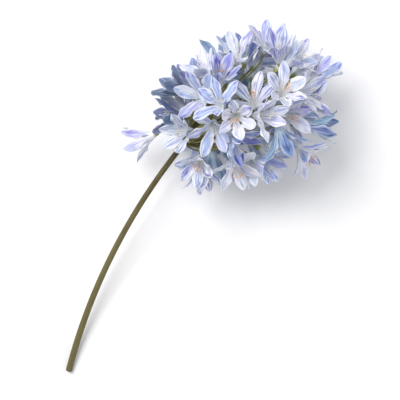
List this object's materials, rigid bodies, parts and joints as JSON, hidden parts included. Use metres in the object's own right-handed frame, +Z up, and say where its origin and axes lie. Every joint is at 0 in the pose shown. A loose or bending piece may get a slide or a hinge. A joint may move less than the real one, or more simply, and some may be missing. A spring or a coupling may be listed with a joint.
{
  "type": "agapanthus flower head",
  "caption": "Cut agapanthus umbel on a bare curved stem, lying down, with six-petalled trumpet blooms in pale lilac, periwinkle and blue.",
  "frame": {"origin": "on the surface that the flower lies on, below the middle of its box", "axes": "+Z up from the surface, +Y from the stem's cut end towards the head, +X towards the side that the head leans to"},
  "size_m": [0.2926, 0.3742, 0.1631],
  "materials": {
    "petals_pale": "soft satin petal, whitish lilac with blue veins",
    "petals_periwinkle": "soft satin petal, periwinkle with darker veins",
    "petals_blue": "soft satin petal, deeper blue with a pale throat",
    "stalk_green": "smooth fresh green skin",
    "scape_skin": "olive-brown skin with fine lengthwise fibres"
  },
  "bodies": {
    "root": {"floret_01": "petals_periwinkle", "floret_02": "petals_pale", "floret_03": "petals_pale", "floret_04": "petals_pale", "floret_05": "petals_pale", "floret_06": "petals_periwinkle", "floret_07": "petals_pale", "floret_08": "petals_pale", "floret_09": "petals_pale", "floret_10": "petals_blue", "floret_11": "petals_blue", "floret_12": "petals_periwinkle", "floret_13": "petals_periwinkle", "floret_14": "petals_periwinkle", "floret_15": "petals_pale", "floret_16": "petals_blue", "floret_17": "petals_pale", "floret_18": "petals_periwinkle", "floret_19": "petals_periwinkle", "floret_20": "petals_pale", "floret_21": "petals_pale", "floret_22": "petals_pale", "floret_23": "petals_blue", "floret_24": "petals_blue", "floret_25": "petals_pale", "floret_26": "petals_pale", "floret_27": "petals_blue", "floret_28": "petals_pale", "floret_29": "petals_periwinkle", "floret_30": "petals_periwinkle", "floret_31": "petals_pale", "floret_32": "petals_periwinkle", "floret_33": "petals_periwinkle", "floret_34": "petals_pale", "floret_35": "petals_periwinkle", "floret_36": "petals_pale", "floret_37": "petals_pale", "floret_38": "petals_periwinkle", "floret_39": "petals_pale", "floret_40": "petals_periwinkle", "floret_41": "petals_pale", "floret_42": "petals_blue", "floret_43": "petals_pale", "floret_44": "petals_periwinkle", "floret_45": "petals_periwinkle", "floret_46": "petals_pale", "floret_47": "petals_pale", "floret_48": "petals_periwinkle", "floret_49": "petals_periwinkle", "floret_50": "petals_pale", "floret_51": "petals_blue", "floret_52": "petals_pale", "floret_53": "petals_pale", "floret_54": "petals_blue", "floret_55": "petals_blue", "floret_56": "petals_pale", "floret_57": "petals_periwinkle", "floret_58": "petals_pale", "scape": "scape_skin", "umbel_stalks": "stalk_green"}
  },
  "joints": []
}
